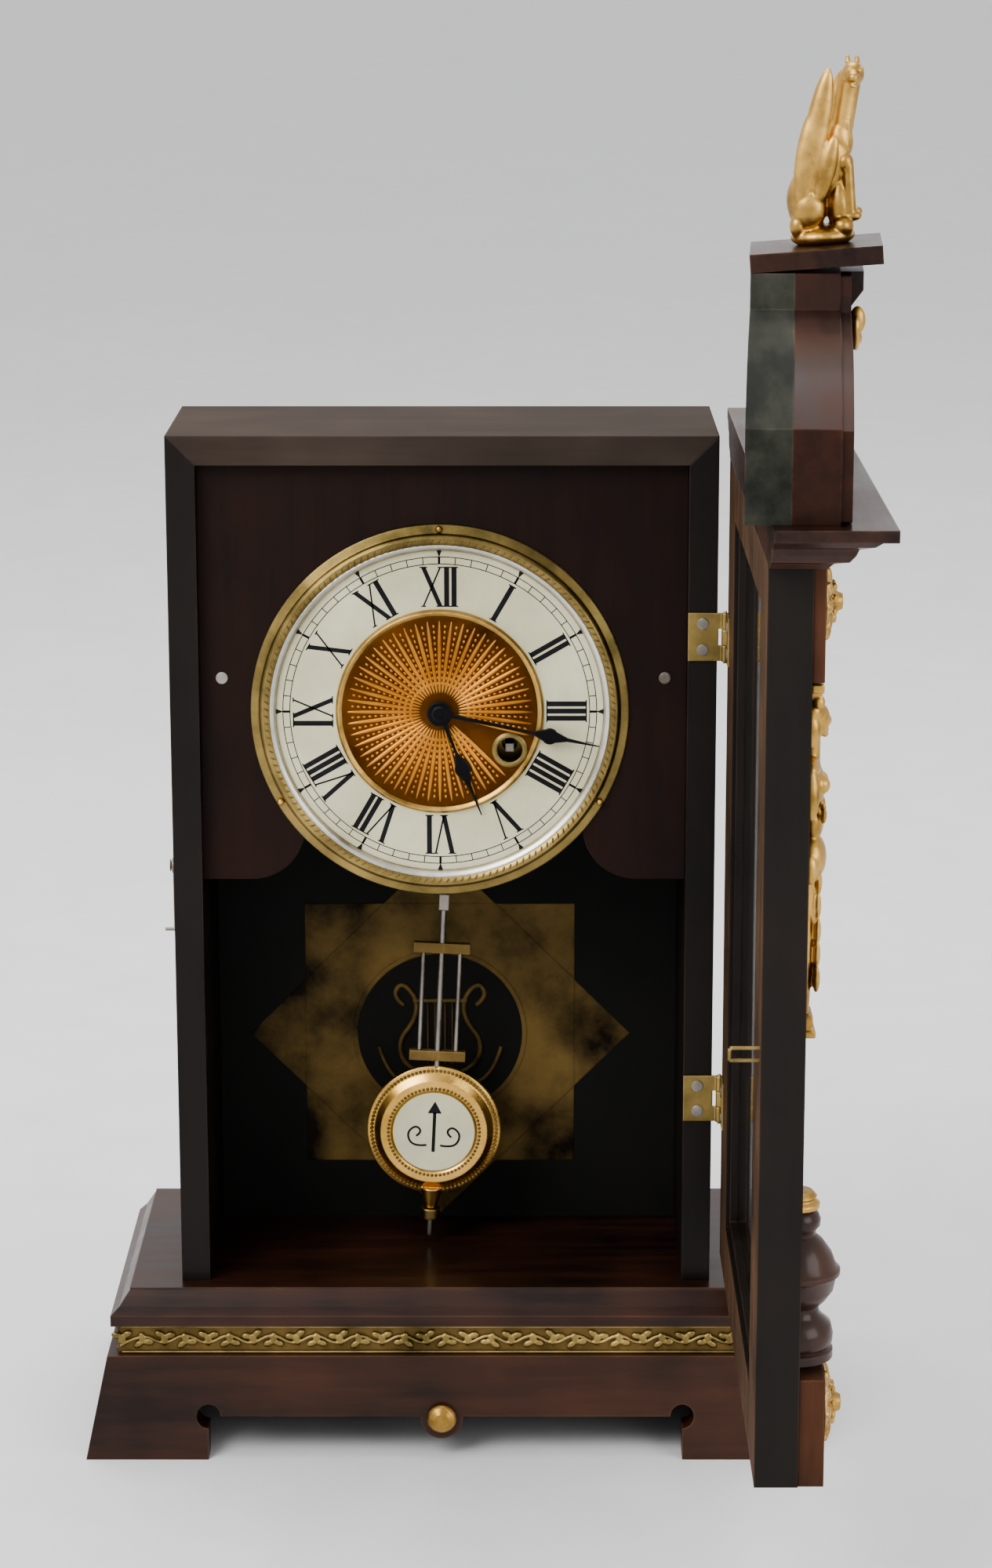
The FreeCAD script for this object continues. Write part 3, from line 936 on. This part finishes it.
def ornaments():
    upper = box("upper_block", ("block_width", "upper_block_thick", "stile_block"),
                ("stile_centre - block_width / 2", "door_front - upper_block_thick", "door_crown - stile_block"))
    lower = box("lower_block", ("block_width", "lower_block_thick", "stile_block"),
                ("stile_centre - block_width / 2", "door_front - lower_block_thick", "door_base"))
    node("stile_blocks", upper, mirrored("upper_block_left", upper), lower, mirrored("lower_block_left", lower))
    rosettes = []
    for name, thick, height in (("low", "lower_block_thick", "door_base + rosette_low"),
                                ("high", "upper_block_thick", "door_crown - rosette_low + 9")):
        face = "door_front - " + thick
        piece = turned("rosette_" + name, [
            ("0", "0"), ("rosette_radius", "0"), ("rosette_radius", "1"), ("rosette_radius * 0.74", "2.4"),
            ("rosette_radius * 0.62", "3.4"), ("rosette_radius * 0.4", "4.6"), ("rosette_radius * 0.3", "6.4"),
            ("rosette_radius * 0.12", "rosette_rise"), ("0", "rosette_rise")], ("stile_centre", face, height), TO_FRONT)
        rosettes += [piece, mirrored("rosette_left_" + name, piece)]
    node("rosettes", *rosettes)

    base = "(door_base + caryatid_low)"

    def lift(share):
        return "%s + caryatid_height * %s" % (base, share)

    def at(share):
        return ("stile_centre", "door_front", lift(share))

    capital = box("caryatid_capital", ("caryatid_half * 2", "5", "caryatid_height * 0.06"),
                  ("stile_centre - caryatid_half", "door_front - 5", lift("0.94")))
    head = egg("caryatid_head", ("6.2", "6.6", "caryatid_height * 0.09"), at("0.87"))
    bust = egg("caryatid_bust", ("caryatid_half * 0.95", "7.4", "caryatid_height * 0.12"), at("0.7"))
    belly = egg("caryatid_belly", ("caryatid_half * 0.75", "5", "caryatid_height * 0.16"), at("0.52"))
    term = cone("caryatid_term", "4.2", "9", "caryatid_height * 0.42", at("0.04"))
    foot = box("caryatid_foot", ("14", "3.4", "caryatid_height * 0.06"), ("stile_centre - 7", "door_front - 3.4", base))
    zone = box("caryatid_zone", ("60", "8", "caryatid_height + 2"),
               ("stile_centre - 30", "door_front - 8", base + " - 1"))
    figure = common("caryatid_right", fuse("caryatid_round", capital, head, bust, belly, term, foot), zone)
    node("caryatids", figure, mirrored("caryatid_left", figure))

    seat = "(door_base + baluster_low)"
    parts = [cone("baluster_foot", "13.5", "12", "4", ("stile_centre", "door_front", seat + " - 2")),
             hoop("baluster_ring", "8.5", "5.4", ("stile_centre", "door_front", seat + " + 7")),
             rod("baluster_neck", "8", "20", ("stile_centre", "door_front", seat)),
             ball("baluster_ball", "ball_radius", ("stile_centre", "door_front", seat + " + 32")),
             rod("baluster_flange", "ball_radius + 1.3", "2.2", ("stile_centre", "door_front", seat + " + 31")),
             cone("baluster_collar", "8", "5.5", "20", ("stile_centre", "door_front", seat + " + 44")),
             hoop("baluster_bead", "5", "2.6", ("stile_centre", "door_front", seat + " + 52"))]
    half_zone = box("baluster_zone", ("40", "20", "90"), ("stile_centre - 20", "door_front - 20", seat + " - 2"))
    baluster = common("baluster_right", fuse("baluster_round", *parts), half_zone)
    node("balusters", baluster, mirrored("baluster_left", baluster))


# ---------------------------------------------------------------- put it all together

plinth()
case()
dial()
movement()
anchor()
hands()
pendulum()
hinges()
door()
crest()
ornaments()
doc.recompute()

CAP_PIECES = ["pediment_cap", "finial"]
CREST_PIECES = ["pediment_backing", "pediment_block", "keystone", "tympanum_ornament"]
DOOR_PIECES = ["door_stiles", "door_rails", "glass_pane", "glass_beads", "cornice", "staple", "hinge_door_leaves",
               "door_screws", "stile_blocks", "rosettes", "caryatids", "balusters"]
SWINGING_PIECES = ["anchor", "suspension_rod", "pendulum_rods", "pendulum_crosspieces", "bob_shell", "bob_disc",
                   "rating_nut"]

lean = FreeCAD.Placement(FreeCAD.Vector(), FreeCAD.Rotation(FreeCAD.Vector(0, 1, 0), size("pendulum_lean")),
                         FreeCAD.Vector(size("pivot_across"), 0, size("pivot_z")))
for name in SWINGING_PIECES:
    shift(name, lean)
twist = FreeCAD.Placement(FreeCAD.Vector(), FreeCAD.Rotation(UP, -size("crest_twist")),
                          FreeCAD.Vector(0, size("door_back"), 0))
hinge_line = FreeCAD.Placement(FreeCAD.Vector(), FreeCAD.Rotation(UP, size("door_open")),
                               FreeCAD.Vector(size("hinge_x"), size("hinge_y"), 0))
tilt = FreeCAD.Placement(FreeCAD.Vector(), FreeCAD.Rotation(FreeCAD.Vector(1, 0, 0), -size("cap_tilt")),
                         FreeCAD.Vector(0, size("door_back"), size("crest_base + crest_rise")))
for name in CAP_PIECES:
    shift(name, hinge_line.multiply(twist).multiply(tilt))
for name in CREST_PIECES:
    shift(name, hinge_line.multiply(twist))
for name in DOOR_PIECES:
    shift(name, hinge_line)
doc.recompute()

faults = [item.Name for item in doc.Objects if {"Invalid", "Error"} & set(item.State)]
faults += [name for name, item in NODES.items() if item.Shape.isNull() or not item.Shape.isValid()]
if faults:
    raise SystemExit("not built: " + ", ".join(faults))
for name, item in NODES.items():
    item.Shape.exportStep("parts/%s.step" % name)
    print("%-22s solids %2d  volume %10.1f" % (name, len(item.Shape.Solids), item.Shape.Volume))
print(len(NODES), "sub-parts")
